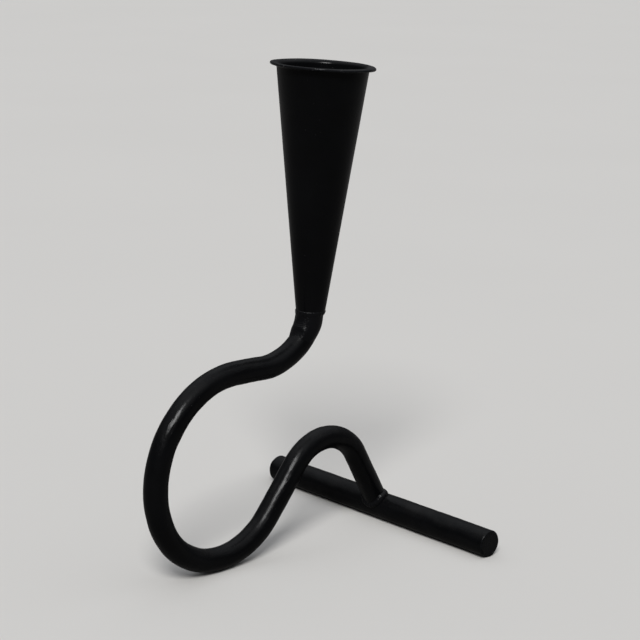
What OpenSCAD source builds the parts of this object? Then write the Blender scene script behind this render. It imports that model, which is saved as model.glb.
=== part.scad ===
// Candlestick: one bent round rod with a tapered sheet cup on top and a round bar across its foot.
// The curl of the rod lies in the plane y = 0, and the foot bar runs along Y.
// Z points up from the ground. The origin is on the ground, in the middle of the footprint.

/* [Rod] */
// Diameter of the bent rod
rod_d = 8; // [6:0.5:9]
// Length of the rod's end that stands inside the cup
spigot_l = 6; // [3:0.5:12]
// Straight piece of rod between the cup's rim and the first bend
throat_run_l = 1.1; // [0.6:0.1:3]
// Chamfer on the rod's upper end
rod_chamfer = 0.5; // [0.2:0.1:1]

/* [Curl of the rod] */
// Centre line radius of the tight bend under the cup
throat_r = 11.8; // [9:0.2:16]
// Centre line radius of the wide bend under the cup
neck_r = 24; // [18:0.5:34]
// Slope of the rod where the wide bend passes into the tight one, in degrees
neck_deg = 46; // [36:0.5:60]
// Length of the straight run on top of the curl
top_run_l = 11.6; // [4:0.2:24]
// Fall of that run towards the cup, in degrees
top_fall_deg = 2.5; // [0:0.1:8]
// Centre line radius of the curl's back
back_r = 32.8; // [29:0.2:38]
// Steepness of the rod where the back passes into the belly, in degrees
waist_deg = 58.7; // [50:0.1:68]
// Centre line radius of the curl's belly, which touches the ground
belly_r = 27.4; // [23:0.2:32]
// Slope of the straight rise after the belly, in degrees
rise_deg = 51.1; // [42:0.1:58]
// Length of the straight rise
rise_l = 19; // [12:0.5:26]
// Centre line radius of the hump
hump_r = 18.4; // [14:0.2:22]
// Steepness of the leg that comes down onto the foot bar, in degrees
leg_deg = 59.2; // [50:0.1:75]

/* [Cup] */
// Length of the cup along its axis, from the small rim to the lip
cup_l = 82.6; // [60:0.1:110]
// Outer diameter of the cup's wall at the mouth
mouth_d = 30.5; // [24:0.1:38]
// Thickness of the cup's sheet, measured square to the axis
sheet_t = 0.9; // [0.6:0.1:1.2]
// How far the lip stands out from the wall
lip_w = 2.2; // [1.2:0.1:3]
// Radius of the lip's bend on its underside
lip_bend_r = 0.5; // [0.3:0.1:0.8]
// Lean of the cup towards the foot bar, in degrees
lean_deg = 2; // [0:0.1:6]

/* [Foot bar] */
// Diameter of the foot bar
foot_d = 9.5; // [9:0.5:14]
// Length of the foot bar
foot_l = 105; // [80:1:140]
// Chamfer on the foot bar's ends
foot_chamfer = 0.6; // [0.2:0.1:1.5]

/* [Welds] */
// Thickness of the neck weld on the inner side of the bend
neck_weld_t = 1.2; // [0.6:0.1:1.6]
// Thickness of the neck weld on the outer side of the bend
neck_skin_t = 0.3; // [0.1:0.05:0.4]
// How far the neck weld follows the wide bend, in degrees
neck_weld_deg = 11; // [4:1:30]
// How far the foot weld stands out from the rod
foot_weld_t = 1; // [0.6:0.1:1.6]

/* [Hidden] */
$fn = 96;

// Clearance between the rod and the cup's small rim, on the radius
rim_clear = 0.05;
// How far a straight piece of the rod laps into the bend that follows it
lap_l = 0.3;
// How far a bend stops short of its end inside that lap
lap_gap = 0.1;
// How much thinner a bend is than the straight pieces that lap it, on the radius
lap_step = 0.04;
// Place of the foot weld's middle, as a share of the foot bar's radius
foot_weld_share = 0.82;
// Steps of the lip's rounded bend
lip_steps = 5;

rod_r = rod_d / 2;
foot_r = foot_d / 2;
mouth_r = mouth_d / 2;

// Directions in the plane of the curl, as [x, z].
// The angle a is off straight up, off straight down or above level.
function out_at(a) = [sin(a), cos(a)];
function under_at(a) = [sin(a), -cos(a)];
function along(a) = [cos(a), sin(a)];

// Points of the curl as [x, z], worked out from where the belly stands over the ground.

belly_c = [0, rod_r + belly_r];
rise_start = belly_c + belly_r * under_at(rise_deg);
rise_end = rise_start + rise_l * along(rise_deg);
hump_c = rise_end + hump_r * under_at(rise_deg);
leg_start = hump_c + hump_r * out_at(leg_deg);
leg_l = (leg_start.y - foot_r) / sin(leg_deg);
foot_c = leg_start + leg_l * along(-leg_deg);
waist = belly_c - belly_r * out_at(waist_deg);
back_c = belly_c + (back_r - belly_r) * out_at(waist_deg);
top_start = back_c + back_r * out_at(top_fall_deg);
top_end = top_start + top_run_l * along(-top_fall_deg);
neck_c = top_end + neck_r * out_at(top_fall_deg);
throat_start = neck_c + neck_r * under_at(neck_deg);
throat_c = neck_c + (neck_r - throat_r) * under_at(neck_deg);
throat_end = throat_c + throat_r * under_at(90 - lean_deg);
rim_c = throat_end + throat_run_l * out_at(lean_deg);

// The footprint's middle lies between the curl's back and the foot bar's far side.
footprint_min = back_c.x - back_r - rod_r;
footprint_max = foot_c.x + foot_r;
middle_x = (footprint_min + footprint_max) / 2;

// Radii of the cup: its small rim fits round the rod.
rim_inner_r = rod_r + rim_clear;
rim_outer_r = rim_inner_r + sheet_t;
lip_r = mouth_r + lip_w;
lip_top_r = lip_bend_r + sheet_t;

// The neck weld's section is a circle that is shifted towards the inside of the bend.
neck_weld_r = rod_r + (neck_weld_t + neck_skin_t) / 2;
neck_weld_shift = (neck_weld_t - neck_skin_t) / 2;

// Puts what is drawn with the curl's [x, z] at the origin into the part's own frame.
module at_curl(p, turn = 0) {
    translate([p.x - middle_x, 0, p.y])
        rotate([0, turn, 0]) children();
}

// A bend in the plane y = 0 about centre c, from direction a0 over a1 degrees, anticlockwise seen from -Y.
// Its section is drawn with the bend's inner side towards -X.
module bend(c, r, a0, a1) {
    short = lap_gap / r * 180 / PI;
    translate([c.x - middle_x, 0, c.y])
        rotate([90, 0, 0])
            mirror([0, 0, 1])
                rotate([0, 0, a0 + short])
                    rotate_extrude(angle = a1 - 2 * short)
                        translate([r, 0]) children();
}

// A straight piece that starts at p and laps what lies before and after it.
// Turn is its angle from +Z towards +X, and its section is drawn as a bend's is.
module run(p, turn, l = 0) {
    at_curl(p, turn)
        translate([0, 0, -lap_l]) linear_extrude(l + 2 * lap_l) children();
}

module rod_section(thinner = 0) {
    circle(r = rod_r - thinner);
}

module weld_section(thinner = 0) {
    translate([-neck_weld_shift, 0]) circle(r = neck_weld_r - thinner);
}

// The foot bar's round surface near the leg, which the leg and its weld are cut to.
module foot_saddle() {
    at_curl(foot_c)
        rotate([90, 0, 0]) cylinder(r = foot_r, h = 2 * rod_d, center = true);
}

// Points of a quarter turn about c, from the wall's direction to the lip's.
function lip_corner(c, r) = [
    for (i = [0 : lip_steps])
        let (a = 90 * i / lip_steps) c + r * [-cos(a), sin(a)]
];
function reversed(v) = [for (i = [len(v) - 1 : -1 : 0]) v[i]];

// Half of the cup's wall and lip, as radius and height above the small rim.
module cup_section() {
    lip_bend_c = [mouth_r + lip_bend_r, cup_l - lip_top_r];
    polygon(concat(
        [[rim_inner_r, 0], [rim_outer_r, 0]],
        lip_corner(lip_bend_c, lip_bend_r),
        [[lip_r, cup_l - sheet_t], [lip_r, cup_l]],
        reversed(lip_corner(lip_bend_c, lip_top_r))
    ));
}

// Tapered sheet cup that holds a candle, open at its small rim, where the rod closes it.
module candle_cup() {
    color("#23252b")
        at_curl(rim_c, lean_deg)
            rotate_extrude() cup_section();
}

// The rod's upper end and the two bends under the cup.
module rod_neck() {
    straight_l = throat_run_l + spigot_l - rod_chamfer;
    at_curl(throat_end, lean_deg) {
        translate([0, 0, -lap_l]) cylinder(r = rod_r, h = lap_l + straight_l);
        translate([0, 0, straight_l]) cylinder(r1 = rod_r, r2 = rod_r - rod_chamfer, h = rod_chamfer);
    }
    bend(throat_c, throat_r, neck_deg - 90, 90 - lean_deg - neck_deg) rod_section(lap_step);
    run(throat_start, 90 - neck_deg) rod_section();
    bend(neck_c, neck_r, -90 - top_fall_deg, neck_deg + top_fall_deg) rod_section(lap_step);
}

// The rod, from its end inside the cup, round the curl and over the hump to the foot bar.
module stem_rod() {
    color("#17181c")
        difference() {
            union() {
                rod_neck();
                run(top_start, 90 + top_fall_deg, top_run_l) rod_section();
                bend(back_c, back_r, 90 - top_fall_deg, 180 - waist_deg + top_fall_deg) rod_section(lap_step);
                run(waist, 90 + waist_deg) rod_section();
                bend(belly_c, belly_r, -90 - waist_deg, waist_deg + rise_deg) rod_section(lap_step);
                run(rise_start, 90 - rise_deg, rise_l) rod_section();
                bend(hump_c, hump_r, 90 - leg_deg, leg_deg + rise_deg) rod_section(lap_step);
                run(leg_start, 90 + leg_deg, leg_l) rod_section();
            }
            foot_saddle();
        }
}

// Round bar across the foot, cut off square with its edges broken.
module foot_bar() {
    edge_r = foot_r - foot_chamfer;
    half_l = foot_l / 2;
    body_l = half_l - foot_chamfer;
    color("#17181c")
        at_curl(foot_c)
            rotate([90, 0, 0])
                rotate_extrude()
                    polygon([
                        [0, -half_l], [edge_r, -half_l], [foot_r, -body_l],
                        [foot_r, body_l], [edge_r, half_l], [0, half_l]
                    ]);
}

// Weld between the cup's small rim and the rod, drawn down along the inner side of the bend.
module neck_weld() {
    color("#3a3c42")
        difference() {
            union() {
                at_curl(throat_end, lean_deg)
                    translate([0, 0, -lap_l]) linear_extrude(lap_l + throat_run_l) weld_section();
                bend(throat_c, throat_r, neck_deg - 90, 90 - lean_deg - neck_deg) weld_section(lap_step);
                run(throat_start, 90 - neck_deg) weld_section();
                bend(neck_c, neck_r, neck_deg - 90 - neck_weld_deg, neck_weld_deg) weld_section(lap_step);
            }
            rod_neck();
        }
}

// Weld around the leg, where it stands on the foot bar.
module foot_weld() {
    weld_r = rod_r + foot_weld_t;
    color("#3a3c42")
        difference() {
            at_curl(foot_c, leg_deg - 90)
                translate([0, 0, foot_r * foot_weld_share]) sphere(r = weld_r);
            at_curl(foot_c, leg_deg - 90)
                cylinder(r = rod_r, h = foot_r + 2 * weld_r);
            foot_saddle();
        }
}

candle_cup();
stem_rod();
foot_bar();
neck_weld();
foot_weld();
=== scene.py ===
"""Candlestick: a rod bent into a curl and a hump, with a tapered sheet cup and a round foot bar.

Each piece of the holder is a class that builds its own mesh and dresses it. Sizes are in metres.
The curl of the rod lies in the plane y = 0, the foot bar runs along Y, and the floor is z = 0.
"""
import logging
import math
from dataclasses import dataclass, field
from enum import Enum

import bpy
from bpy.types import Material, Node, NodeSocket, NodeTree, Object
from mathutils import Matrix, Vector


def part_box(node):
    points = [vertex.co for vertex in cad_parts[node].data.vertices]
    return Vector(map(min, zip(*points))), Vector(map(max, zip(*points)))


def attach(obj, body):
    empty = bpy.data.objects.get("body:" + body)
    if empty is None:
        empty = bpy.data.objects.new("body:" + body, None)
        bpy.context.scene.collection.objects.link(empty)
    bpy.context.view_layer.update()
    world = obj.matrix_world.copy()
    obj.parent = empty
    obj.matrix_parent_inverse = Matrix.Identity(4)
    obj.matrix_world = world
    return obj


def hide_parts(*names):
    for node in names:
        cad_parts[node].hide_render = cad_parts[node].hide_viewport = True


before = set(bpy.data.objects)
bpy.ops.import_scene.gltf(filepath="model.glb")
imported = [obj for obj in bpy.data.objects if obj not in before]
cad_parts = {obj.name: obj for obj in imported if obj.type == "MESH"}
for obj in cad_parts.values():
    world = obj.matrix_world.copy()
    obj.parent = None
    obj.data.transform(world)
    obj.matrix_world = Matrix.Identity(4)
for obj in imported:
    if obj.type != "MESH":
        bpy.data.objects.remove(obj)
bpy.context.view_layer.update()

LOG = logging.getLogger("candlestick")
MM = 0.001
MICRON = 0.000001
Y_AXIS = Vector((0, 1, 0))
Z_AXIS = Vector((0, 0, 1))
Colour = tuple[float, float, float]
Spot = tuple[float, float]

# Attributes that the pieces carry for their finish, and for the trees that grow them.
UNBENT = "unbent"
RUBBED = "rubbed"
BEAD = "bead"
THICKNESS = "thickness"

# Middle value of a noise texture.
NOISE_MIDDLE = 0.5


class Slot(Enum):
    """Names of two material slots."""

    LACQUER = "black_lacquer"
    WELD = "lacquered_weld"


class Solid(Enum):
    """Solids of the frame that the pieces stand for."""

    CUP = "candle_cup"
    ROD = "stem_rod"
    FOOT = "foot_bar"
    NECK_WELD = "neck_weld"
    FOOT_WELD = "foot_weld"

    @property
    def piece(self) -> str:
        """Name of the piece that stands for the solid."""
        return self.value + "_piece"


class Grain(Enum):
    """What the metal under the lacquer looks like, as the stretch of its pits along X, Y and Z."""

    ROLLED_BAR = (1.0, 1.0, 4.0)
    SPUN_SHEET = (60.0, 60.0, 1.0)
    WELD_BEAD = (1.0, 1.0, 1.0)


class Kind(Enum):
    """Kinds of socket that a node group has."""

    NUMBER = "NodeSocketFloat"
    COUNT = "NodeSocketInt"
    VECTOR = "NodeSocketVector"
    SHAPE = "NodeSocketGeometry"
    FINISH = "NodeSocketMaterial"


def smooth_step(low: float, high: float, value: float) -> float:
    """Eases a value from 0 at low to 1 at high."""
    share = min(1.0, max(0.0, (value - low) / (high - low)))
    return share * share * (3 - 2 * share)


def spaced(first: float, last: float, steps: int) -> list[float]:
    """Goes from the first value to the last in equal steps."""
    return [first + (last - first) * i / steps for i in range(steps + 1)]


def arc_angles(first_deg: float, last_deg: float, steps: int) -> list[float]:
    """Goes from the first angle to the last, which are in degrees, in equal steps in radians."""
    return [math.radians(angle) for angle in spaced(first_deg, last_deg, steps)]


def circle_angles(count: int) -> list[float]:
    """Spaces a number of angles evenly round a circle."""
    return [2 * math.pi * i / count for i in range(count)]


def waves(angle: float, *parts: tuple[float, int, float]) -> float:
    """Adds waves that run round a circle, each given by its height, how many go round, and its turn."""
    return sum(height * math.sin(count * angle + turn) for height, count, turn in parts)


def opaque(colour: Colour, gain: float = 1.0) -> tuple[float, ...]:
    """Makes a colour gain times as bright, and opaque."""
    return tuple(gain * part for part in colour) + (1.0,)


def foot_place() -> tuple[Vector, float, float]:
    """Finds the foot bar's middle, its radius and half its length."""
    low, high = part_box(Solid.FOOT.value)
    return (low + high) / 2, (high.z - low.z) / 2, (high.y - low.y) / 2


class Graph:
    """Shorthand for filling one node tree."""

    def __init__(self, tree: NodeTree) -> None:
        """Takes over a tree."""
        self.tree = tree

    def node(self, kind: str, inputs: dict | None = None, **settings: object) -> Node:
        """Adds a node, with its settings first and then its inputs.

        Args:
            kind: The node's type name.
            inputs: Values or output sockets, by input name or index.
            **settings: Properties of the node.

        Returns:
            The new node.
        """
        made = self.tree.nodes.new(kind)
        for name, value in settings.items():
            setattr(made, name, value)
        for key, value in (inputs or {}).items():
            if isinstance(value, NodeSocket):
                self.tree.links.new(value, made.inputs[key])
            else:
                made.inputs[key].default_value = value
        return made

    def effect(self, group: NodeTree, **inputs: object) -> Node:
        """Places a shared group, with its inputs by name."""
        return self.node("ShaderNodeGroup", inputs, node_tree=group)

    def math(self, operation: str, *values: object) -> NodeSocket:
        """Adds a Math node for numbers or sockets."""
        return self.node("ShaderNodeMath", dict(enumerate(values)), operation=operation).outputs[0]

    def times(self, first: object, second: object) -> NodeSocket:
        """Multiplies two numbers or sockets."""
        return self.math("MULTIPLY", first, second)

    def vector(self, operation: str, *values: object) -> NodeSocket:
        """Adds a Vector Math node for vectors or sockets."""
        return self.node("ShaderNodeVectorMath", dict(enumerate(values)), operation=operation).outputs[0]

    def noise(self, place: NodeSocket, scale: object, detail: float, **inputs: object) -> NodeSocket:
        """Adds a Noise Texture, in four dimensions where it is given W.

        Args:
            place: The place that is looked up.
            scale: Its scale, per metre.
            detail: Its octaves.
            **inputs: Its other inputs.

        Returns:
            The noise.
        """
        values = {"Vector": place, "Scale": scale, "Detail": detail, **inputs}
        dimensions = "4D" if "W" in inputs else "3D"
        return self.node("ShaderNodeTexNoise", values, noise_dimensions=dimensions).outputs["Fac"]

    def ramp(self, value: object, low: float, high: float) -> NodeSocket:
        """Eases a value from 0 at low to 1 at high."""
        inputs = {"Value": value, "From Min": low, "From Max": high}
        return self.node("ShaderNodeMapRange", inputs, interpolation_type="SMOOTHSTEP").outputs["Result"]

    def patches(self, place: NodeSocket, scale: object, low: float, high: float, detail: float) -> NodeSocket:
        """Makes patches that start where a noise passes low, and are full where it passes high."""
        return self.ramp(self.noise(place, scale, detail), low, high)

    def blend(self, share: NodeSocket, first: object, second: object) -> NodeSocket:
        """Mixes two colours, of which the second shows by a share."""
        return self.node("ShaderNodeMix", {0: share, 6: first, 7: second}, data_type="RGBA").outputs[2]


class Group(Graph):
    """A node group in the making, with named inputs and outputs."""

    def __init__(self, name: str, kind: str, takes: dict[str, Kind], gives: dict[str, Kind]) -> None:
        """Makes the group.

        Args:
            name: The group's name.
            kind: ShaderNodeTree or GeometryNodeTree.
            takes: Its inputs, by name.
            gives: Its outputs, by name.
        """
        super().__init__(bpy.data.node_groups.new(name, kind))
        for in_out, sockets in (("INPUT", takes), ("OUTPUT", gives)):
            for label, socket in sockets.items():
                self.tree.interface.new_socket(label, in_out=in_out, socket_type=socket.value)
        start = self.node("NodeGroupInput")
        self.start = {label: start.outputs[label] for label in takes}
        self.end = self.node("NodeGroupOutput")

    def give(self, **values: NodeSocket) -> NodeTree:
        """Connects what the group puts out.

        Args:
            **values: Its outputs, by name.

        Returns:
            The finished group.
        """
        for label, socket in values.items():
            self.tree.links.new(socket, self.end.inputs[label])
        return self.tree


class Effects:
    """Shader node groups that more than one finish uses."""

    def __init__(self) -> None:
        """Builds each group once."""
        self.peel = self._peel()
        self.grain = self._grain()
        self.dust = self._dust()
        self.rub = self._rub()

    @staticmethod
    def _peel() -> NodeTree:
        """Makes the fine waviness of a sprayed lacquer, with a few specks caught in it.

        Returns:
            The group. Its Height is in metres, and its Gloss varies about 0.
        """
        broad_scale, broad_rise = 0.22, 1.6
        speck_scale, speck_low, speck_high, speck_rise = 1.9, 0.79, 0.86, 1.5
        cloud_scale = 0.07
        group = Group("lacquer_peel", "ShaderNodeTree",
                      {"Vector": Kind.VECTOR, "Size": Kind.NUMBER, "Depth": Kind.NUMBER},
                      {"Height": Kind.NUMBER, "Gloss": Kind.NUMBER})
        place = group.start["Vector"]
        scale = group.math("DIVIDE", 1.0, group.start["Size"])
        fine = group.noise(place, scale, detail=1.0, Roughness=0.4)
        broad = group.noise(place, group.times(scale, broad_scale), detail=1.0)
        swell = group.math("ADD", fine, group.times(broad, broad_rise))
        specks = group.patches(place, group.times(scale, speck_scale), speck_low, speck_high, detail=0.0)
        total = group.math("ADD", swell, group.times(specks, speck_rise))
        cloud = group.noise(place, group.times(scale, cloud_scale), detail=3.0)
        return group.give(Height=group.times(total, group.start["Depth"]),
                          Gloss=group.math("SUBTRACT", cloud, NOISE_MIDDLE))

    @staticmethod
    def _grain() -> NodeTree:
        """Makes the shallow pits and lines of the metal, drawn out along X, Y and Z by its Stretch.

        Returns:
            The group. Its Height is in metres.
        """
        patch_scale, patch_low, patch_high = 0.13, 0.35, 0.68
        always = 0.25
        group = Group("metal_grain", "ShaderNodeTree",
                      {"Vector": Kind.VECTOR, "Stretch": Kind.VECTOR, "Size": Kind.NUMBER,
                       "Depth": Kind.NUMBER}, {"Height": Kind.NUMBER})
        place = group.vector("DIVIDE", group.start["Vector"], group.start["Stretch"])
        scale = group.math("DIVIDE", 1.0, group.start["Size"])
        pits = group.noise(place, scale, detail=3.0, Roughness=0.55, Distortion=0.3)
        patches = group.patches(place, group.times(scale, patch_scale), patch_low, patch_high, detail=2.0)
        strength = group.math("ADD", group.times(patches, 1 - always), always)
        return group.give(Height=group.times(group.times(pits, strength), group.start["Depth"]))

    @staticmethod
    def _dust() -> NodeTree:
        """Makes thin dust on what faces up, in a haze and in single grains.

        Returns:
            The group. Its Mask is 1 where dust hides the lacquer.
        """
        slope_low, slope_high = 0.25, 0.95
        haze_scale, haze_low, haze_high, haze_share = 160.0, 0.38, 0.75, 0.35
        grain_scale, grain_low, grain_high = 2600.0, 0.66, 0.74
        group = Group("settled_dust", "ShaderNodeTree",
                      {"Vector": Kind.VECTOR, "Upward": Kind.NUMBER, "Amount": Kind.NUMBER},
                      {"Mask": Kind.NUMBER})
        place = group.start["Vector"]
        level = group.ramp(group.start["Upward"], slope_low, slope_high)
        haze = group.patches(place, haze_scale, haze_low, haze_high, detail=4.0)
        grains = group.patches(place, grain_scale, grain_low, grain_high, detail=1.0)
        lying = group.math("ADD", group.times(haze, haze_share), grains)
        mask = group.times(group.times(lying, level), group.start["Amount"])
        return group.give(Mask=group.math("MINIMUM", mask, 1.0))

    @staticmethod
    def _rub() -> NodeTree:
        """Makes lacquer that is rubbed thin at edges and where the holder stands.

        Returns:
            The group. Its Mask is 1 where the lacquer is polished thin, and its Bare is 1 on metal.
        """
        scale = 900.0
        thin_low, thin_high = 0.35, 0.85
        bare_low, bare_high = 0.88, 1.0
        group = Group("rubbed_lacquer", "ShaderNodeTree",
                      {"Vector": Kind.VECTOR, "Rubbed": Kind.NUMBER, "Amount": Kind.NUMBER},
                      {"Mask": Kind.NUMBER, "Bare": Kind.NUMBER})
        broken = group.noise(group.start["Vector"], scale, detail=4.0, Roughness=0.62)
        worn = group.times(group.start["Rubbed"], group.start["Amount"])
        reach = group.math("ADD", worn, group.math("SUBTRACT", broken, NOISE_MIDDLE))
        return group.give(Mask=group.ramp(reach, thin_low, thin_high),
                          Bare=group.ramp(reach, bare_low, bare_high))


def new_material(name: str, even: dict[str, float]) -> tuple[Material, Graph, Node]:
    """Makes a material whose shader has some sockets that are the same all over.

    Args:
        name: The material's name.
        even: The values of those sockets, by name.

    Returns:
        The material, its graph and its shader.
    """
    material = bpy.data.materials.new(name)
    material.use_nodes = True
    shader = material.node_tree.nodes["Principled BSDF"]
    for label, value in even.items():
        shader.inputs[label].default_value = value
    return material, Graph(material.node_tree), shader


@dataclass(frozen=True)
class LacqueredSteel:
    """Satin black lacquer over steel, dressed for the metal below it.

    Attributes:
        name: The material's name.
        grain: What the metal under the lacquer looks like.
        colour: The lacquer's colour.
        roughness: Its middle roughness.
        peel_size: Distance between the waves of the spray.
        peel_depth: Depth of those waves.
        grain_size: Distance between the metal's pits or lines.
        grain_depth: Their depth.
        dust: How much dust lies on it.
        wear: How far its edges are rubbed.
    """

    name: str
    grain: Grain
    colour: Colour = (0.0018, 0.0019, 0.0022)
    roughness: float = 0.27
    peel_size: float = 1.3 * MM
    peel_depth: float = 34 * MICRON
    grain_size: float = 0.8 * MM
    grain_depth: float = 150 * MICRON
    dust: float = 0.16
    wear: float = 0.8

    # Sockets of the shader that are the same all over.
    EVEN = {"Specular IOR Level": 0.12, "Coat Roughness": 0.2, "Coat IOR": 1.45}
    DUST_COLOUR = (0.085, 0.08, 0.072)
    STEEL_COLOUR = (0.16, 0.155, 0.15)
    # How many times lighter the lacquer is in its clouds, and where it is rubbed thin.
    CLOUD_GAIN, THIN_GAIN = 1.7, 4.2
    # Scale of those clouds per metre, and where in their noise they start and are full.
    CLOUD_SCALE, CLOUD_LOW, CLOUD_HIGH = 70.0, 0.3, 0.75
    # What the peel, rubbing and dust add to the roughness.
    PEEL_HAZE, RUB_HAZE, DUST_HAZE = 0.5, -0.08, 0.5
    # Weight of the clear coat where no dust lies on it.
    COAT = 0.06

    def build(self, effects: Effects) -> Material:
        """Builds the material.

        Args:
            effects: The shared node groups.

        Returns:
            The finished material.
        """
        material, graph, shader = new_material(self.name, self.EVEN)
        place = graph.node("ShaderNodeTexCoord").outputs
        solid = place["Object"]
        flat = graph.node("ShaderNodeAttribute", attribute_name=UNBENT).outputs["Vector"]
        rubbed = graph.node("ShaderNodeAttribute", attribute_name=RUBBED).outputs["Fac"]
        upward = graph.node("ShaderNodeSeparateXYZ", {"Vector": place["Normal"]}).outputs["Z"]

        peel = graph.effect(effects.peel, Vector=solid, Size=self.peel_size, Depth=self.peel_depth).outputs
        grain = graph.effect(effects.grain, Vector=flat, Stretch=self.grain.value, Size=self.grain_size,
                             Depth=self.grain_depth).outputs
        dust = graph.effect(effects.dust, Vector=solid, Upward=upward, Amount=self.dust).outputs["Mask"]
        worn = graph.effect(effects.rub, Vector=solid, Rubbed=rubbed, Amount=self.wear).outputs

        cloud = graph.patches(solid, self.CLOUD_SCALE, self.CLOUD_LOW, self.CLOUD_HIGH, detail=3.0)
        tint = graph.blend(cloud, opaque(self.colour), opaque(self.colour, self.CLOUD_GAIN))
        tint = graph.blend(worn["Mask"], tint, opaque(self.colour, self.THIN_GAIN))
        tint = graph.blend(worn["Bare"], tint, opaque(self.STEEL_COLOUR))
        tint = graph.blend(dust, tint, opaque(self.DUST_COLOUR))

        gloss = graph.math("MULTIPLY_ADD", peel["Gloss"], self.PEEL_HAZE, self.roughness)
        gloss = graph.math("MULTIPLY_ADD", worn["Mask"], self.RUB_HAZE, gloss)
        gloss = graph.math("MULTIPLY_ADD", dust, self.DUST_HAZE, gloss)
        coat = graph.math("MULTIPLY_ADD", dust, -self.COAT, self.COAT)
        relief = graph.math("ADD", peel["Height"], grain["Height"])
        bump = graph.node("ShaderNodeBump", {"Height": relief, "Distance": 1.0, "Strength": 1.0})
        for label, socket in (("Base Color", tint), ("Roughness", gloss), ("Coat Weight", coat),
                              ("Metallic", worn["Bare"]), ("Normal", bump.outputs["Normal"])):
            graph.tree.links.new(socket, shader.inputs[label])
        return material


class Finishes:
    """The three lacquered surfaces of the holder."""

    def __init__(self) -> None:
        """Builds the shared effects and the materials."""
        effects = Effects()
        self.bar = LacqueredSteel("black_lacquer_on_bar", Grain.ROLLED_BAR).build(effects)
        self.sheet = LacqueredSteel("black_lacquer_on_sheet", Grain.SPUN_SHEET, grain_size=0.5 * MM,
                                    grain_depth=24 * MICRON, peel_depth=30 * MICRON).build(effects)
        self.weld = LacqueredSteel("black_lacquer_on_weld", Grain.WELD_BEAD, roughness=0.28,
                                   colour=(0.003, 0.0031, 0.0036), grain_size=0.7 * MM,
                                   grain_depth=170 * MICRON, dust=0.22).build(effects)


@dataclass(frozen=True)
class Stretch:
    """One straight run or bend of the rod, in the plane of the curl. Its angles are in radians.

    Attributes:
        start: Its first point, as x and z.
        heading: Its first direction, anticlockwise from level.
        length: Its length along the centre line.
        turn: How far it turns, anticlockwise. Zero is a straight run.
    """

    start: Vector
    heading: float
    length: float
    turn: float = 0.0

    def at(self, way: float) -> tuple[Vector, float]:
        """Finds a point of the stretch.

        Args:
            way: Distance from its start.

        Returns:
            The point, as x and z, and the heading there.
        """
        level, rise = math.cos(self.heading), math.sin(self.heading)
        if not self.turn:
            return self.start + way * Vector((level, rise)), self.heading
        radius = self.length / self.turn
        heading = self.heading + way / radius
        swing = Vector((math.sin(heading) - rise, level - math.cos(heading)))
        return self.start + radius * swing, heading


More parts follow.
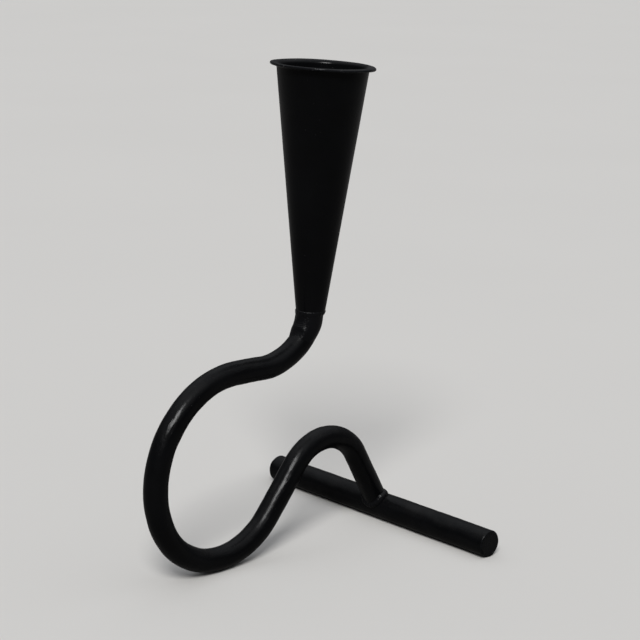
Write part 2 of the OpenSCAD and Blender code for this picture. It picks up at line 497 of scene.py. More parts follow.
@dataclass
class Curl:
    """Centre line of the rod, from its end inside the cup to the foot bar.

    Its angles are in degrees, and the radii of its bends are those of the centre line.

    Attributes:
        rod_d: Diameter of the rod.
        spigot_l: Length of the rod's end that stands inside the cup.
        throat_run_l: Length of the straight piece between the cup's rim and the first bend.
        throat_r: Radius of the tight bend under the cup.
        neck_r: Radius of the wide bend under the cup.
        neck_deg: Slope of the rod where the wide bend passes into the tight one.
        top_run_l: Length of the straight run on top of the curl.
        top_fall_deg: Fall of that run towards the cup.
        back_r: Radius of the curl's back.
        waist_deg: Steepness of the rod where the back passes into the belly.
        belly_r: Radius of the curl's belly, which touches the ground.
        rise_deg: Slope of the straight rise after the belly.
        rise_l: Length of that rise.
        hump_r: Radius of the hump.
        leg_deg: Steepness of the leg that comes down onto the foot bar.
        lean_deg: Lean of the cup towards the foot bar.
        sway: How far the bent rod strays sideways at most.
        sway_turns: How often it strays to one side and the other.
        stretches: The straight runs and bends, from the cup to the foot bar.
    """

    rod_d: float = 8 * MM
    spigot_l: float = 6 * MM
    throat_run_l: float = 1.1 * MM
    throat_r: float = 11.8 * MM
    neck_r: float = 24 * MM
    neck_deg: float = 46
    top_run_l: float = 11.6 * MM
    top_fall_deg: float = 2.5
    back_r: float = 32.8 * MM
    waist_deg: float = 58.7
    belly_r: float = 27.4 * MM
    rise_deg: float = 51.1
    rise_l: float = 19 * MM
    hump_r: float = 18.4 * MM
    leg_deg: float = 59.2
    lean_deg: float = 2.0
    sway: float = 0.25 * MM
    sway_turns: float = 2.5
    stretches: list[Stretch] = field(init=False)

    # Places of two bends in the list of stretches.
    THROAT, BELLY = 1, 5

    def __post_init__(self) -> None:
        """Lays the stretches out, with the belly on the floor and the leg's foot in the foot bar."""
        foot, _, _ = foot_place()
        belly = self._lay(Vector((0, 0)))[self.BELLY]
        lowest, _ = belly.at(belly.length * self.waist_deg / (self.waist_deg + self.rise_deg))
        laid = self._lay(Vector((0, self.rod_r - lowest.y)))
        leg_start, heading = laid[-1].at(laid[-1].length)
        leg_l = (leg_start.y - foot.z) / math.sin(math.radians(self.leg_deg))
        laid.append(Stretch(leg_start, heading, leg_l))
        shift = Vector((foot.x - laid[-1].at(leg_l)[0].x, 0))
        self.stretches = [Stretch(part.start + shift, part.heading, part.length, part.turn) for part in laid]

    @property
    def rod_r(self) -> float:
        """Radius of the rod."""
        return self.rod_d / 2

    @property
    def length(self) -> float:
        """Length of the whole centre line."""
        return sum(part.length for part in self.stretches)

    def _lay(self, start: Vector) -> list[Stretch]:
        """Lays the stretches from the rod's upper end to the end of the hump.

        Args:
            start: The rod's upper end, as x and z.

        Returns:
            The stretches, in order.
        """
        upright = 90 - self.lean_deg
        plan = [
            (self.spigot_l + self.throat_run_l, 0.0),
            (self.throat_r, self.neck_deg - upright),
            (self.neck_r, -self.neck_deg - self.top_fall_deg),
            (self.top_run_l, 0.0),
            (self.back_r, 180 - self.waist_deg + self.top_fall_deg),
            (self.belly_r, self.waist_deg + self.rise_deg),
            (self.rise_l, 0.0),
            (self.hump_r, -self.rise_deg - self.leg_deg),
        ]
        laid = []
        heading = math.radians(upright - 180)
        for size, degrees in plan:
            turn = math.radians(degrees)
            laid.append(Stretch(start, heading, abs(turn) * size if turn else size, turn))
            start, heading = laid[-1].at(laid[-1].length)
        return laid

    def at(self, way: float) -> tuple[Vector, Vector, Vector]:
        """Finds a point of the centre line.

        Args:
            way: Distance from the rod's upper end. The cup's small rim is spigot_l from it.

        Returns:
            The point, the direction towards the foot, and the direction to the left of that.
        """
        left_over = way
        for part in self.stretches:
            if left_over <= part.length or part is self.stretches[-1]:
                break
            left_over -= part.length
        spot, heading = part.at(left_over)
        share = min(1.0, max(0.0, way / self.length))
        ease = math.sin(math.pi * share) ** 2
        off = self.sway * ease * math.sin(2 * math.pi * self.sway_turns * share)
        level, rise = math.cos(heading), math.sin(heading)
        return Vector((spot.x, off, spot.y)), Vector((level, 0, rise)), Vector((-rise, 0, level))


def make_mesh(name: str, points: list[Vector], faces: list | tuple, edges: list | tuple = ()) -> Object:
    """Makes a mesh object at the origin.

    Args:
        name: Name of the object and its mesh.
        points: Its vertices.
        faces: Its faces, as tuples of vertex numbers.
        edges: Its loose edges, as pairs of vertex numbers.

    Returns:
        The new object, linked to the scene.
    """
    mesh = bpy.data.meshes.new(name)
    mesh.from_pydata(points, edges, faces)
    mesh.update()
    made = bpy.data.objects.new(name, mesh)
    bpy.context.scene.collection.objects.link(made)
    return made


def make_shell(solid: Solid, points: list[Vector], sides: int) -> Object:
    """Makes a piece from rings of vertices, of which the last joins the first.

    Its faces point outwards when a ring turns right about the way ahead.

    Args:
        solid: The solid that it stands for.
        points: Its vertices, ring by ring.
        sides: Vertices in each ring.

    Returns:
        The piece.
    """
    faces = []
    for here in range(0, len(points), sides):
        there = (here + sides) % len(points)
        for side in range(sides):
            after = (side + 1) % sides
            faces.append((here + side, here + after, there + after, there + side))
    return make_mesh(solid.piece, points, faces)


def mark(piece: Object, marks: dict[str, list]) -> None:
    """Writes attributes that have one value for each vertex.

    Args:
        piece: The mesh object.
        marks: Numbers or vectors in vertex order, by the attribute's name.
    """
    for name, values in marks.items():
        is_vector = isinstance(values[0], (Vector, tuple))
        kind, key = ("FLOAT_VECTOR", "vector") if is_vector else ("FLOAT", "value")
        layer = piece.data.attributes.get(name) or piece.data.attributes.new(name, kind, "POINT")
        layer.data.foreach_set(key, [part for value in values for part in value] if is_vector else values)


def hand_over(piece: Object, solid: Solid) -> None:
    """Puts a finished piece in the place of its solid.

    Args:
        piece: The finished piece.
        solid: The solid that it stands for.
    """
    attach(piece, "root")
    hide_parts(solid.value)
    LOG.info("%s: %d vertices, %d faces", piece.name, len(piece.data.vertices), len(piece.data.polygons))


class ShapeGroup(Group):
    """A Geometry Nodes tree in the making, which takes and gives a shape."""

    def __init__(self, name: str, shape: str, takes: dict[str, Kind]) -> None:
        """Makes the tree.

        Args:
            name: The tree's name.
            shape: Name of the shape that it takes.
            takes: Its other inputs, by name, apart from its seed and finish.
        """
        takes = {shape: Kind.SHAPE, **takes, "Seed": Kind.NUMBER, "Finish": Kind.FINISH}
        super().__init__(name, "GeometryNodeTree", takes, {"Piece": Kind.SHAPE})

    def store(self, shape: NodeSocket, name: str, value: NodeSocket, kind: str) -> NodeSocket:
        """Writes an attribute of a shape's points."""
        inputs = {"Geometry": shape, "Name": name, "Value": value}
        return self.node("GeometryNodeStoreNamedAttribute", inputs, data_type=kind, domain="POINT").outputs[0]

    def read(self, name: str, kind: str) -> NodeSocket:
        """Reads an attribute of the points."""
        made = self.node("GeometryNodeInputNamedAttribute", {"Name": name}, data_type=kind)
        return made.outputs["Attribute"]

    def finish(self, shape: NodeSocket, lift: NodeSocket) -> NodeTree:
        """Ends the tree.

        Args:
            shape: What it has made.
            lift: How far each point is moved out along its normal first.

        Returns:
            The finished tree.
        """
        normal = self.node("GeometryNodeInputNormal").outputs["Normal"]
        offset = self.node("ShaderNodeVectorMath", {0: normal, "Scale": lift}, operation="SCALE").outputs[0]
        moved = self.node("GeometryNodeSetPosition", {"Geometry": shape, "Offset": offset}).outputs[0]
        soft = self.node("GeometryNodeSetShadeSmooth", {"Geometry": moved}).outputs[0]
        real = self.node("GeometryNodeRealizeInstances", {"Geometry": soft}).outputs[0]
        dressed = self.node("GeometryNodeSetMaterial", {"Geometry": real, "Material": self.start["Finish"]})
        return self.give(Piece=dressed.outputs[0])


class Growth:
    """Geometry Nodes trees of the holder, and how a piece is grown with one."""

    def __init__(self) -> None:
        """Builds each tree once."""
        self.bar = self._bar()
        self.ripples = self._ripples()

    @staticmethod
    def _bar() -> NodeTree:
        """Makes round bar along a line of edges, with the shallow flats that hand bending leaves.

        Returns:
            The tree. The line's points carry the bar's thickness there, as a share of its radius.
        """
        way, around = "way", "around"
        drawn_out = (1.0, 1.0, 1.6)
        flat_low, flat_high = 0.25, 0.75
        group = ShapeGroup("swept_bar", "Line", {"Radius": Kind.NUMBER, "Sides": Kind.COUNT,
                                                 "Flat Depth": Kind.NUMBER, "Flat Size": Kind.NUMBER})
        node, start = group.node, group.start
        path = node("GeometryNodeMeshToCurve", {"Mesh": start["Line"]}).outputs["Curve"]
        length = node("GeometryNodeSplineParameter").outputs["Length"]
        path = group.store(path, way, length, "FLOAT")
        size = {"Resolution": start["Sides"], "Radius": start["Radius"]}
        ring = node("GeometryNodeCurvePrimitiveCircle", size).outputs["Curve"]
        spot = node("GeometryNodeInputPosition").outputs[0]
        ring = group.store(ring, around, spot, "FLOAT_VECTOR")
        swept = node("GeometryNodeCurveToMesh", {"Curve": path, "Profile Curve": ring, "Fill Caps": True,
                                                 "Scale": group.read(THICKNESS, "FLOAT")}).outputs[0]
        along = node("ShaderNodeCombineXYZ", {"Z": group.read(way, "FLOAT")}).outputs[0]
        unbent = group.vector("ADD", group.read(around, "FLOAT_VECTOR"), along)
        bar = group.store(swept, UNBENT, unbent, "FLOAT_VECTOR")

        scale = group.math("DIVIDE", 1.0, start["Flat Size"])
        wave = group.noise(group.vector("DIVIDE", unbent, drawn_out), scale, detail=2.0, W=start["Seed"])
        level = group.math("SUBTRACT", NOISE_MIDDLE, group.ramp(wave, flat_low, flat_high))
        return group.finish(bar, group.times(level, start["Flat Depth"]))

    @staticmethod
    def _ripples() -> NodeTree:
        """Makes the ripples of a weld bead, one behind the other along its way.

        Returns:
            The tree. The bead's points carry their way along it, their way across it, and its strength.
        """
        wander_scale, wander_share = 420.0, 1.1
        rough_scale = 1500.0
        front, back = 0.62, 0.3
        group = ShapeGroup("weld_ripples", "Bead", {"Pitch": Kind.NUMBER, "Height": Kind.NUMBER,
                                                    "Bow": Kind.NUMBER, "Roughness": Kind.NUMBER})
        start = group.start
        bead = group.node("ShaderNodeSeparateXYZ", {"Vector": group.read(BEAD, "FLOAT_VECTOR")}).outputs
        spot = group.node("GeometryNodeInputPosition").outputs[0]
        wander = group.noise(spot, wander_scale, detail=2.0, W=start["Seed"])
        bowed = group.math("MULTIPLY_ADD", group.times(bead["Y"], bead["Y"]), start["Bow"], bead["X"])
        phase = group.math("ADD", group.math("DIVIDE", bowed, start["Pitch"]),
                           group.times(wander, wander_share))
        saw = group.math("FRACT", phase)
        fall = group.ramp(group.math("SUBTRACT", 1.0, saw), 0.0, back)
        crest = group.times(group.ramp(saw, 0.0, front), fall)
        rough = group.noise(spot, rough_scale, detail=2.0, W=start["Seed"])
        rough = group.times(group.math("SUBTRACT", rough, NOISE_MIDDLE), start["Roughness"])
        rise = group.math("ADD", group.times(crest, start["Height"]), rough)
        return group.finish(start["Bead"], group.times(rise, bead["Z"]))

    @staticmethod
    def grow(piece: Object, tree: NodeTree, **inputs: object) -> None:
        """Grows a piece with a tree and keeps the result as its plain mesh.

        Args:
            piece: The object that holds the line or the bead.
            tree: The tree to use.
            **inputs: Its inputs, by name, with _ for a space.
        """
        modifier = piece.modifiers.new("grow", "NODES")
        modifier.node_group = tree
        sockets = {item.name: item.identifier for item in tree.interface.items_tree
                   if item.item_type == "SOCKET" and item.in_out == "INPUT"}
        for name, value in inputs.items():
            modifier[sockets[name.replace("_", " ")]] = value
        bpy.context.view_layer.update()
        shaped = piece.evaluated_get(bpy.context.evaluated_depsgraph_get())
        mesh = bpy.data.meshes.new_from_object(shaped)
        piece.modifiers.remove(modifier)
        old = piece.data
        piece.data = mesh
        bpy.data.meshes.remove(old)
        mesh.name = piece.name


@dataclass
class Piece:
    """A piece of the holder.

    Attributes:
        curl: The rod's centre line, which ends in the foot bar's middle.
        growth: The Geometry Nodes trees.
        finish: The piece's material.
    """

    curl: Curl
    growth: Growth
    finish: Material


@dataclass
class Bar(Piece):
    """A length of round bar, swept along its centre line.

    Attributes:
        end_chamfer: Broken edge of its cut ends.
        stand_reach: Height over the floor up to which it is rubbed where it stands.
        sides: Vertices around it.
        ring_gap: Distance between its rings.
        edge_rings: Steps in the rounding of its cut ends.
        flat_depth: Depth of the flats left by hand work, half of it above the true radius.
        flat_size: Distance between them.
        seed: Seed of the flats.
    """

    end_chamfer: float = 0.5 * MM
    stand_reach: float = 0.35 * MM
    sides: int = 44
    ring_gap: float = 0.5 * MM
    edge_rings: int = 4
    flat_depth: float = 0.16 * MM
    flat_size: float = 5 * MM
    seed: float = 3.0

    def sweep(self, solid: Solid, radius: float, plan: list[tuple[Vector, float]]) -> Object:
        """Makes the bar.

        Args:
            solid: The solid that it stands for.
            radius: Its radius.
            plan: Points of its centre line, each with its thickness there as a share of the radius.

        Returns:
            The bar, with flat ends.
        """
        links = [(i, i + 1) for i in range(len(plan) - 1)]
        piece = make_mesh(solid.piece, [spot for spot, _ in plan], (), links)
        mark(piece, {THICKNESS: [share for _, share in plan]})
        self.growth.grow(piece, self.growth.bar, Radius=radius, Sides=self.sides, Flat_Depth=self.flat_depth,
                         Flat_Size=self.flat_size, Seed=self.seed, Finish=self.finish)
        return piece

    def edge(self, radius: float) -> list[Spot]:
        """Rounds the edge of a cut end, from the end inwards.

        Args:
            radius: The bar's radius.

        Returns:
            For each ring, its distance from the end and its thickness as a share of the radius.
        """
        cut = self.end_chamfer
        return [(cut * (1 - math.sin(angle)), 1 - cut * (1 - math.cos(angle)) / radius)
                for angle in arc_angles(90, 0, self.edge_rings)]


@dataclass
class StemRod(Bar):
    """The bent rod, from its end inside the cup to the foot bar.

    Attributes:
        sink: How far its lower end reaches into the foot bar's surface.
    """

    sink: float = 0.3 * MM

    def build(self) -> None:
        """Builds the rod and hands it over."""
        _, foot_r, _ = foot_place()
        stop = self.curl.length - foot_r - self.ring_gap
        count = math.ceil((stop - self.end_chamfer) / self.ring_gap)
        rings = self.edge(self.curl.rod_r)
        rings += [(way, 1.0) for way in spaced(self.end_chamfer, stop, count)[1:]]
        plan = [(self.curl.at(way)[0], share) for way, share in rings]
        piece = self.sweep(Solid.ROD, self.curl.rod_r, plan)
        self._seat(piece, foot_r)
        mark(piece, {RUBBED: [smooth_step(self.stand_reach, 0, point.co.z) for point in piece.data.vertices]})
        hand_over(piece, Solid.ROD)

    def _seat(self, piece: Object, foot_r: float) -> None:
        """Lets the last ring down onto the foot bar's round surface.

        Args:
            piece: The swept rod.
            foot_r: Radius of the foot bar.
        """
        end, ahead, _ = self.curl.at(self.curl.length)
        vertices = piece.data.vertices
        order = sorted(range(len(vertices)), key=lambda i: (vertices[i].co - end).dot(ahead))
        for i in order[-self.sides:]:
            offset = vertices[i].co - end
            side = offset - offset.dot(ahead) * ahead
            level = side - side.y * Y_AXIS
            height = math.sqrt(max(0.0, foot_r ** 2 - level.length_squared)) - self.sink
            vertices[i].co = end + side - height * ahead


@dataclass
class FootBar(Bar):
    """The round bar across the foot.

    Attributes:
        edge_reach: How far the rubbing reaches to either side of the broken edge at its ends.
        edge_rub: How far that edge is rubbed.
    """

    end_chamfer: float = 0.6 * MM
    stand_reach: float = 0.12 * MM
    sides: int = 52
    seed: float = 11.0
    edge_reach: float = 0.9 * MM
    edge_rub: float = 0.75

    def build(self) -> None:
        """Builds the foot bar and hands it over."""
        middle, foot_r, half = foot_place()
        edge = self.edge(foot_r)
        body = half - self.end_chamfer
        count = math.ceil(2 * body / self.ring_gap)
        rings = [(way - half, share) for way, share in edge]
        rings += [(y, 1.0) for y in spaced(-body, body, count)[1:-1]]
        rings += [(half - way, share) for way, share in reversed(edge)]
        plan = [(Vector((middle.x, y, middle.z)), share) for y, share in rings]
        piece = self.sweep(Solid.FOOT, foot_r, plan)
        mark(piece, {RUBBED: [self._rub(point.co, half) for point in piece.data.vertices]})
        hand_over(piece, Solid.FOOT)

    def _rub(self, point: Vector, half: float) -> float:
        """Says how far the bar, given half its length, is rubbed at a point."""
        edge = smooth_step(self.edge_reach, 0, abs(half - self.end_chamfer / 2 - abs(point.y)))
        return max(smooth_step(self.stand_reach, 0, point.z), self.edge_rub * edge)


@dataclass
class CandleCup(Piece):
    """The tapered sheet cup with its turned-out lip.

    Attributes:
        length: Length along its axis.
        mouth_d: Outer diameter of its wall at the mouth.
        sheet_t: Thickness of its sheet.
        lip_w: How far the lip stands out from the wall.
        lip_bend_r: Radius of the lip's bend on its underside.
        rim_clear: Clearance between the rod and the small rim.
        edge_r: Rounding of the small rim's cut edges.
        lip_edge_r: Rounding of the lip's outer edge.
        lip_wave: How far the hand-turned lip strays from flat.
        lip_tip: How far it is bent down on its low side and up on the other.
        lip_low_deg: Place of its low side around the cup, from +X.
        rub_w: Width of the lip's rubbed edge.
        sides: Vertices around it.
        wall_steps: Steps along its wall.
        bend_steps: Steps in the lip's bend.
    """

    length: float = 82.6 * MM
    mouth_d: float = 30.5 * MM
    sheet_t: float = 0.9 * MM
    lip_w: float = 2.2 * MM
    lip_bend_r: float = 0.5 * MM
    rim_clear: float = 0.05 * MM
    edge_r: float = 0.22 * MM
    lip_edge_r: float = 0.4 * MM
    lip_wave: float = 0.1 * MM
    lip_tip: float = 0.3 * MM
    lip_low_deg: float = -45
    rub_w: float = 1.1 * MM
    sides: int = 160
    wall_steps: int = 36
    bend_steps: int = 8

    # Waves of the lip's edge.
    WAVES = ((2 / 3, 2, 0.7), (1 / 3, 5, 2.1))

    def build(self) -> None:
        """Builds the cup and hands it over."""
        rim, ahead, _ = self.curl.at(self.curl.spigot_l)
        axis = -ahead
        across = Y_AXIS.cross(axis)
        lip_r = self.mouth_d / 2 + self.lip_w
        points, unbent, rubbed = [], [], []
        for radius, height in self._section():
            lip = smooth_step(self.mouth_d / 2 - self.sheet_t, lip_r, radius)
            for angle in circle_angles(self.sides):
                out = math.cos(angle) * across + math.sin(angle) * Y_AXIS
                points.append(rim + radius * out + (height + lip * self._stray(angle)) * axis)
                unbent.append((radius * math.cos(angle), radius * math.sin(angle), height))
                rubbed.append(smooth_step(self.rub_w, 0, lip_r - radius))
        piece = make_shell(Solid.CUP, points, self.sides)
        mark(piece, {UNBENT: unbent, RUBBED: rubbed})
        piece.data.materials.append(self.finish)
        piece.data.shade_smooth()
        hand_over(piece, Solid.CUP)

    def _stray(self, angle: float) -> float:
        """Says how far the lip's edge stands above flat at a place around the cup."""
        tip = self.lip_tip * math.cos(angle - math.radians(self.lip_low_deg))
        return self.lip_wave * waves(angle, *self.WAVES) - tip

    def _section(self) -> list[Spot]:
        """Traces the sheet's section, up the outside and down the inside.

        Returns:
            Radius and height above the small rim, for each ring.
        """
        mouth_r, lip_r = self.mouth_d / 2, self.mouth_d / 2 + self.lip_w
        inner_r = self.curl.rod_r + self.rim_clear
        outer_r = inner_r + self.sheet_t
        top_r = self.lip_bend_r + self.sheet_t
        wall_l = self.length - top_r
        bend = (mouth_r + self.lip_bend_r, wall_l)
        cut, lip = self.edge_r, self.lip_edge_r
        return [
            *self._round((inner_r + cut, cut), cut, 180, 270),
            *self._round((outer_r - cut, cut), cut, 270, 360),
            *self._wall((outer_r, 0), (mouth_r, wall_l)),
            *self._round(bend, self.lip_bend_r, 180, 90, self.bend_steps),
            *self._round((lip_r - lip, self.length - self.sheet_t + lip), lip, 270, 360),
            *self._round((lip_r - lip, self.length - lip), lip, 0, 90),
            *self._round(bend, top_r, 90, 180, self.bend_steps),
            *self._wall((mouth_r - self.sheet_t, wall_l), (inner_r, 0)),
        ]

    def _wall(self, first: Spot, last: Spot) -> list[Spot]:
        """Steps along the straight wall between two spots, which are left out."""
        radii, heights = (spaced(first[i], last[i], self.wall_steps)[1:-1] for i in (0, 1))
        return list(zip(radii, heights))

    @staticmethod
    def _round(centre: Spot, radius: float, first: float, last: float, steps: int = 5) -> list[Spot]:
        """Rounds a corner about its centre, from one angle to another in degrees."""
        return [(centre[0] + radius * math.cos(angle), centre[1] + radius * math.sin(angle))
                for angle in arc_angles(first, last, steps)]


@dataclass
class Weld(Piece):
    """A weld with a rippled bead that runs once round the rod.

    Attributes:
        bury: How far its hidden edges or faces lie inside what it joins.
        ripple_h: Height of its ripples.
        ripple_bow: How far they bow, as a multiple of the squared distance from the bead's middle.
        roughness: Height of the roughness on them.
        seed: Seed of their wander and roughness.
        ripples: How many there are.
    """

    bury: float
    ripple_h: float
    ripple_bow: float
    roughness: float
    seed: float
    ripples: int = 24

    def close(self, solid: Solid, points: list[Vector], sides: int, marks: dict[str, list],
              way_round: float) -> None:
        """Makes the weld from its rings, grows its ripples and hands it over.

        Args:
            solid: The solid that it stands for.
            points: Its vertices, ring by ring.
            sides: Vertices in each ring.
            marks: Its bead and unbent attributes. No weld is rubbed.
            way_round: Length of the bead.
        """
        piece = make_shell(solid, points, sides)
        mark(piece, {**marks, RUBBED: [0.0] * len(points)})
        self.growth.grow(piece, self.growth.ripples, Pitch=way_round / self.ripples, Height=self.ripple_h,
                         Bow=self.ripple_bow, Roughness=self.roughness, Seed=self.seed, Finish=self.finish)
        hand_over(piece, solid)


@dataclass
class NeckWeld(Weld):
    """The weld between the cup's small rim and the rod, drawn down the inner side of the bend.

    Attributes:
        thick: Thickness on the inner side of the bend.
        skin: Thickness on the outer side.
        skin_low: Distance below the rim where that skin starts to run out.
        skin_end: Distance below the rim where it is gone.
        inner_power: How closely the weld keeps to the inner side.
        follow_deg: How far it follows the wide bend.
        lap: How far it laps over the cup's rim.
        lap_t: How far it stands out from the rim there.
        lap_low: Share of that on the outer side of the bend.
        lap_end_t: Height over the rod of the lap's end, which lies inside the sheet.
        rim_t: How far the rim stands out from the rod.
        rim_top: Distance above the rim up to which the lap has its full height.
        rim_low: Distance below the rim down to which it has it.
        collar_l: Distance below the rim where the lap has run down into the weld.
        bead_l: Length of the bead that runs round the rim.
        fade: Length over which its lower end runs out.
        ragged: How unevenly that end runs out around the rod.
        sides: Vertices around it.
        ring_gap: Distance between its rings.
        inner_rings: Steps along its inner face.
    """

    bury: float = 0.2 * MM
    ripple_h: float = 0.11 * MM
    ripple_bow: float = 260.0
    roughness: float = 0.09 * MM
    seed: float = 5.0
    thick: float = 1.2 * MM
    skin: float = 0.3 * MM
    skin_low: float = 3.5 * MM
    skin_end: float = 9 * MM
    inner_power: float = 1.25
    follow_deg: float = 11
    lap: float = 0.7 * MM
    lap_t: float = 0.18 * MM
    lap_low: float = 0.35
    lap_end_t: float = 0.7 * MM
    rim_t: float = 0.95 * MM
    rim_top: float = 0.2 * MM
    rim_low: float = 0.1 * MM
    collar_l: float = 1.5 * MM
    bead_l: float = 1.4 * MM
    fade: float = 6 * MM
    ragged: float = 1.2 * MM
    sides: int = 180
    ring_gap: float = 0.13 * MM
    inner_rings: int = 18

    # Waves of the lap's height and of the lower end.
    LAP_WAVES = ((0.3, 3, 1 + math.pi / 2),)
    END_WAVES = ((0.3, 3, -2.36 - math.pi / 2), (0.2, 8, -math.pi / 2))
    # Share of the bead's length where its middle lies, and where its ripples start to fade.
    BEAD_MIDDLE, BEAD_FADE = 0.3, 0.5
    # Thickness of the drawn weld where it starts to show ripples, where they are full, and their strength.
    DRAWN_LOW, DRAWN_HIGH, DRAWN_STRENGTH = 0.5 * MM, 1.1 * MM, 0.25
    # Share of the collar's height that shows below the rim, and of the bury that the outer face may sink.
    BELOW_RIM, DEEPEST = 0.9, 0.9

    def build(self) -> None:
        """Builds the weld and hands it over."""
        curl = self.curl
        throat_l = curl.stretches[curl.THROAT].length
        reach = curl.throat_run_l + throat_l + curl.neck_r * math.radians(self.follow_deg)
        outside = spaced(-self.lap, reach, round((reach + self.lap) / self.ring_gap))
        inside = spaced(reach, -self.lap, self.inner_rings)
        points, bead, unbent = [], [], []
        for ways, outer in ((outside, True), (inside, False)):
            for way in ways:
                middle, _, left = curl.at(curl.spigot_l + way)
                for angle in circle_angles(self.sides):
                    bulge = self._bulge(way, reach, angle) if outer else -self.bury
                    radius = curl.rod_r + bulge
                    points.append(middle + radius * (math.sin(angle) * Y_AXIS - math.cos(angle) * left))
                    bead.append(self._bead(way, angle, bulge) if outer else (0.0, 0.0, 0.0))
                    unbent.append((radius * math.cos(angle), radius * math.sin(angle), way))
        way_round = 2 * math.pi * (curl.rod_r + self.rim_t)
        self.close(Solid.NECK_WELD, points, self.sides, {BEAD: bead, UNBENT: unbent}, way_round)

    def _bead(self, way: float, angle: float, bulge: float) -> tuple[float, float, float]:
        """Lays out the ripples: round the cup's rim, and below it faintly down the inner side of the bend.

        Args:
            way: Distance below the cup's rim.
            angle: Place around the rod, from the inner side of the bend.
            bulge: How far the weld stands out from the rod there.

        Returns:
            The way along the bead, the way across it, and the strength of its ripples.
        """
        turned = (angle + math.pi) % (2 * math.pi) - math.pi
        if way < self.bead_l:
            strength = smooth_step(self.bead_l, self.BEAD_FADE * self.bead_l, way)
            strength *= smooth_step(-self.lap, 0, way)
            return turned * (self.curl.rod_r + self.rim_t), way - self.BEAD_MIDDLE * self.bead_l, strength
        strength = smooth_step(self.DRAWN_LOW, self.DRAWN_HIGH, bulge)
        strength *= smooth_step(self.bead_l, 2 * self.bead_l, way)
        return way, turned * self.curl.rod_r, self.DRAWN_STRENGTH * strength

    def _bulge(self, way: float, reach: float, angle: float) -> float:
        """Says how far the weld stands out from the rod.

        Args:
            way: Distance below the cup's rim.
            reach: Distance of its lower end below the rim.
            angle: Place around the rod, from the inner side of the bend.

        Returns:
            The distance, below zero where the weld has run out.
        """
        inner = (0.5 + 0.5 * math.cos(angle)) ** self.inner_power
        short = self.ragged * (0.5 + waves(angle, *self.END_WAVES))
        run_out = smooth_step(reach, reach - self.fade, way + short)
        body = (self.skin + (self.thick - self.skin) * inner) * run_out
        body -= (self.skin + self.bury) * smooth_step(self.skin_low, self.skin_end, way) * (1 - inner)
        body -= self.bury * (1 - run_out)
        lap_t = self.lap_t * (self.lap_low + (1 - self.lap_low) * inner)
        collar = self.rim_t + lap_t * (1 + waves(angle, *self.LAP_WAVES))
        at_rim = smooth_step(self.collar_l, self.rim_low, way) * smooth_step(-self.lap, -self.rim_top, way)
        if way <= 0:
            return collar * at_rim + self.lap_end_t * (1 - at_rim)
        return max(body + (collar - body) * at_rim * self.BELOW_RIM, -self.DEEPEST * self.bury)


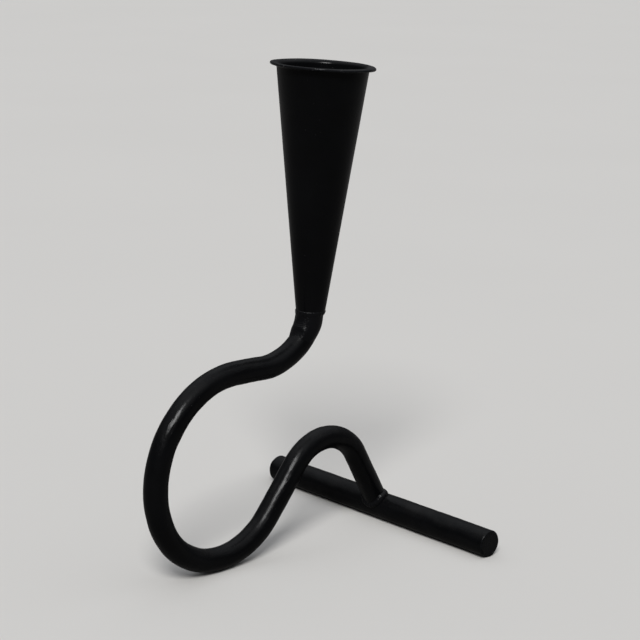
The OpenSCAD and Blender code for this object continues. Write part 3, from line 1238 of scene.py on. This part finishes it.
@dataclass
class FootWeld(Weld):
    """The weld around the leg, where it stands on the foot bar.

    Attributes:
        up_leg: How far it reaches up the leg.
        on_bar: How far it reaches out over the bar.
        crown: How far it swells out of a straight fillet.
        core_sink: How far its hidden core lies below the joint.
        bead_w: Width of the bead, for its ripples.
        steps: Sections along its length.
        across: Steps across its face.
    """

    bury: float = 0.35 * MM
    ripple_h: float = 0.15 * MM
    ripple_bow: float = 220.0
    roughness: float = 0.1 * MM
    seed: float = 9.0
    up_leg: float = 1.7 * MM
    on_bar: float = 1.15 * MM
    crown: float = 0.35 * MM
    core_sink: float = 0.6 * MM
    bead_w: float = 2 * MM
    steps: int = 300
    across: int = 20

    # Waves of its width.
    WAVES = ((0.12, 3, 0.8), (0.08, 7, 2.0))
    # Length over which the bar's slope at the joint is taken, and the least spread of the toe on a slope.
    PROBE, LEAST_SPREAD = 0.1 * MM, 0.5
    # How much the crown leans up the leg, and away from the bar.
    LEAN_UP, LEAN_OUT = 0.4, 0.1
    # Distance of the hidden core from the leg's axis, as a share of the joint's.
    CORE_SHARE = 0.86
    # How soon the ripples fade towards the bead's edges.
    FADE_POWER = 0.7

    def build(self) -> None:
        """Builds the weld and hands it over."""
        _, foot_r, _ = foot_place()
        foot, ahead, left = self.curl.at(self.curl.length)
        points, bead = [], []
        way_round, previous = 0.0, None
        for angle in circle_angles(self.steps):
            section, joint = self._section(angle, foot_r)
            way_round += (joint - previous).length if previous else 0.0
            previous = joint
            for i, (spot, strength) in enumerate(section):
                points.append(foot + spot.x * left + spot.y * Y_AXIS - spot.z * ahead)
                bead.append((way_round, (i / self.across - 0.5) * self.bead_w, strength))
        sides = len(points) // self.steps
        self.close(Solid.FOOT_WELD, points, sides, {BEAD: bead, UNBENT: points}, way_round)

    def _section(self, angle: float, foot_r: float) -> tuple[list[tuple[Vector, float]], Vector]:
        """Draws the weld's section at one place around the leg.

        Args:
            angle: Place around the leg.
            foot_r: Radius of the foot bar.

        Returns:
            The section's points with the strength of the ripples there, and the point of the joint.
            Each point is given across the leg in the plane of the curl, along the bar, and up the leg.
        """
        rod_r = self.curl.rod_r
        side = Vector((math.cos(angle), math.sin(angle), 0))
        wander = 1 + waves(angle, *self.WAVES)

        def bar_spot(radius: float, roll: float) -> Vector:
            """Finds a point of the bar's surface, a roll round it and a radius from the leg's axis."""
            return Vector((foot_r * math.sin(roll), radius * math.sin(angle), foot_r * math.cos(roll)))

        roll = math.asin(rod_r * math.cos(angle) / foot_r)
        joint = bar_spot(rod_r, roll)
        near_r = rod_r + self.PROBE
        outward = (bar_spot(near_r, math.asin(near_r * math.cos(angle) / foot_r)) - joint).normalized()
        reach = self.on_bar * wander * max(outward.xy.length, self.LEAST_SPREAD)
        toe = bar_spot(rod_r + reach, roll + reach * math.cos(angle) / foot_r)
        top = rod_r * side + (joint.z + self.up_leg * wander) * Z_AXIS
        out_of_bar = Vector((joint.x, 0, joint.z)) / foot_r
        swell = (side + self.LEAN_UP * Z_AXIS + self.LEAN_OUT * out_of_bar).normalized()
        middle = (top + toe) / 2 + swell * self.crown * 2
        section = []
        for share in spaced(0, 1, self.across):
            spot = (1 - share) ** 2 * top + 2 * share * (1 - share) * middle + share ** 2 * toe
            section.append((spot, math.sin(math.pi * share) ** self.FADE_POWER))
        bar_in = toe - Vector((toe.x, 0, toe.z)).normalized() * self.bury
        core = Vector((joint.x * self.CORE_SHARE, joint.y * self.CORE_SHARE, joint.z - self.core_sink))
        section += [(spot, 0.0) for spot in (bar_in, core, top - side * self.bury)]
        return section, joint


@dataclass
class Studio:
    """Pale floor, soft light from high up behind the camera, and the camera itself.

    Attributes:
        station: Where the camera stands.
        aim: What it looks at.
        roll_deg: How far it is rolled.
        lens: Its focal length, in millimetres.
        sensor: Width of its sensor, in millimetres.
        near: Distance from which it sees.
        floor_r: Radius of the floor.
        floor_sides: Corners of the floor.
        floor_colour: Colour of the floor, as the camera sees it.
        floor_shine: Its colour in what the lacquer mirrors.
        floor_bounce: Its colour for the light that it throws back.
        cloud_scale: Scale of the faint clouds on it, per metre.
        cloud_gain: How bright it is in them.
        backdrop: What the camera sees behind the floor.
        low_air: Light from the room near the horizon.
        high_air: Light from the room overhead.
        air_low: Height of a direction up to which the light is that of the horizon.
        sun: Strength of the soft key light.
        sun_deg: How wide that light looks.
        sun_from: Direction that it comes from.
    """

    station: Vector = field(default_factory=lambda: Vector((-0.4119, -0.4265, 0.2354)))
    aim: Vector = field(default_factory=lambda: Vector((0.0095, -0.0098, 0.0822)))
    roll_deg: float = 1.59
    lens: float = 104.0
    sensor: float = 36.0
    near: float = 0.01
    floor_r: float = 5.0
    floor_sides: int = 96
    floor_colour: Colour = (0.705, 0.689, 0.659)
    floor_shine: Colour = (0.17, 0.165, 0.158)
    floor_bounce: Colour = (0.09, 0.087, 0.083)
    cloud_scale: float = 6.0
    cloud_gain: float = 0.97
    backdrop: Colour = (0.625, 0.617, 0.604)
    low_air: Colour = (0.085, 0.086, 0.09)
    high_air: Colour = (0.68, 0.7, 0.74)
    air_low: float = 0.3
    sun: float = 2.1
    sun_deg: float = 21.0
    sun_from: Vector = field(default_factory=lambda: Vector((-0.54, -0.44, 0.72)))

    # Sockets of the floor's shader that are the same all over.
    FLOOR_EVEN = {"Roughness": 0.9, "Specular IOR Level": 0.1}

    def build(self) -> None:
        """Builds the whole set."""
        self._camera()
        self._floor()
        self._light()

    def _camera(self) -> None:
        """Makes the camera and makes it the scene's."""
        data = bpy.data.cameras.new("camera")
        data.lens = self.lens
        data.sensor_width = self.sensor
        data.clip_start = self.near
        camera = bpy.data.objects.new("camera", data)
        bpy.context.scene.collection.objects.link(camera)
        ahead = (self.aim - self.station).normalized()
        right = ahead.cross(Z_AXIS).normalized()
        up = right.cross(ahead)
        roll = math.radians(self.roll_deg)
        turned = math.cos(roll) * right + math.sin(roll) * up
        rows = Matrix((turned, turned.cross(ahead), -ahead)).transposed()
        camera.matrix_world = Matrix.Translation(self.station) @ rows.to_4x4()
        bpy.context.scene.camera = camera

    def _floor(self) -> None:
        """Makes the round pale floor."""
        rim = [self.floor_r * Vector((math.cos(a), math.sin(a), 0)) for a in circle_angles(self.floor_sides)]
        floor = make_mesh("studio_floor", rim, [tuple(range(self.floor_sides))])
        material, graph, shader = new_material("studio_floor", self.FLOOR_EVEN)
        place = graph.node("ShaderNodeTexCoord").outputs["Object"]
        cloud = graph.noise(place, self.cloud_scale, detail=3.0)
        seen = graph.blend(cloud, opaque(self.floor_colour), opaque(self.floor_colour, self.cloud_gain))
        ray = graph.node("ShaderNodeLightPath").outputs
        unseen = graph.blend(ray["Is Glossy Ray"], opaque(self.floor_bounce), opaque(self.floor_shine))
        tone = graph.blend(ray["Is Camera Ray"], unseen, seen)
        graph.tree.links.new(tone, shader.inputs["Base Color"])
        floor.data.materials.append(material)

    def _light(self) -> None:
        """Lights the set with an even room and one soft key light."""
        world = bpy.data.worlds.new("room")
        world.use_nodes = True
        graph = Graph(world.node_tree)
        way = graph.node("ShaderNodeTexCoord").outputs["Generated"]
        height = graph.node("ShaderNodeSeparateXYZ", {"Vector": way}).outputs["Z"]
        air = graph.blend(graph.ramp(height, self.air_low, 1.0), opaque(self.low_air), opaque(self.high_air))
        shown = graph.node("ShaderNodeLightPath").outputs["Is Camera Ray"]
        seen = graph.blend(shown, air, opaque(self.backdrop))
        graph.tree.links.new(seen, world.node_tree.nodes["Background"].inputs["Color"])
        bpy.context.scene.world = world
        data = bpy.data.lights.new("key_light", "SUN")
        data.energy = self.sun
        data.angle = math.radians(self.sun_deg)
        key = bpy.data.objects.new("key_light", data)
        key.rotation_mode = "QUATERNION"
        key.rotation_quaternion = self.sun_from.to_track_quat("Z", "Y")
        bpy.context.scene.collection.objects.link(key)


def main() -> None:
    """Builds the set and the pieces of the holder, in order."""
    logging.basicConfig(level=logging.INFO, format="%(name)s: %(message)s")
    bpy.context.scene.view_settings.view_transform = "Standard"
    Studio().build()
    finishes = Finishes()
    growth = Growth()
    curl = Curl()
    StemRod(curl, growth, finishes.bar).build()
    FootBar(curl, growth, finishes.bar).build()
    CandleCup(curl, growth, finishes.sheet).build()
    NeckWeld(curl, growth, finishes.weld).build()
    FootWeld(curl, growth, finishes.weld).build()


if __name__ == "__main__":
    main()
